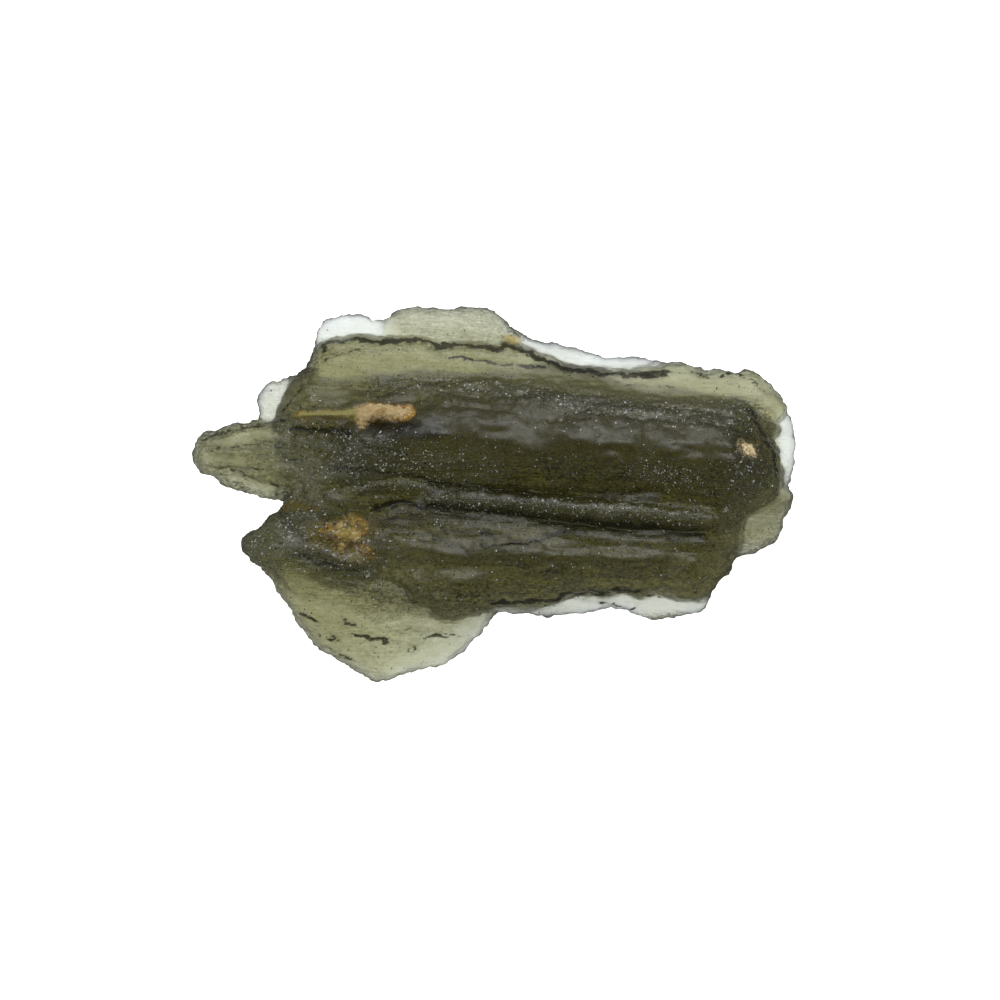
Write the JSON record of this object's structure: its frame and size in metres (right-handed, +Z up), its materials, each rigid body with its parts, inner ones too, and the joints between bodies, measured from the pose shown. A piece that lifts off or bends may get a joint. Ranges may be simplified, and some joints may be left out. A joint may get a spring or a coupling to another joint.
{
  "type": "moldavite",
  "caption": "Raw splinter of natural olive glass with a thick ridged body, thin clear ledges round it, a spike and a prong, and clay in its pits, lying on a small flat spot.",
  "frame": {"origin": "centre of the stone's box at the surface that it rests on", "axes": "+Z up, +X along the grain from the spike towards the blunt end, +Y towards the pale ledge"},
  "size_m": [0.027, 0.0166, 0.0063],
  "materials": {
    "moldavite_glass": "see-through olive glass, etched and satiny on the ridges, near clear where it is thin",
    "clay": null,
    "sand": null
  },
  "bodies": {
    "root": {"moldavite": "moldavite_glass", "clay_crumb": "clay", "clay_cake": "clay", "sand_grain": "sand"}
  },
  "joints": []
}
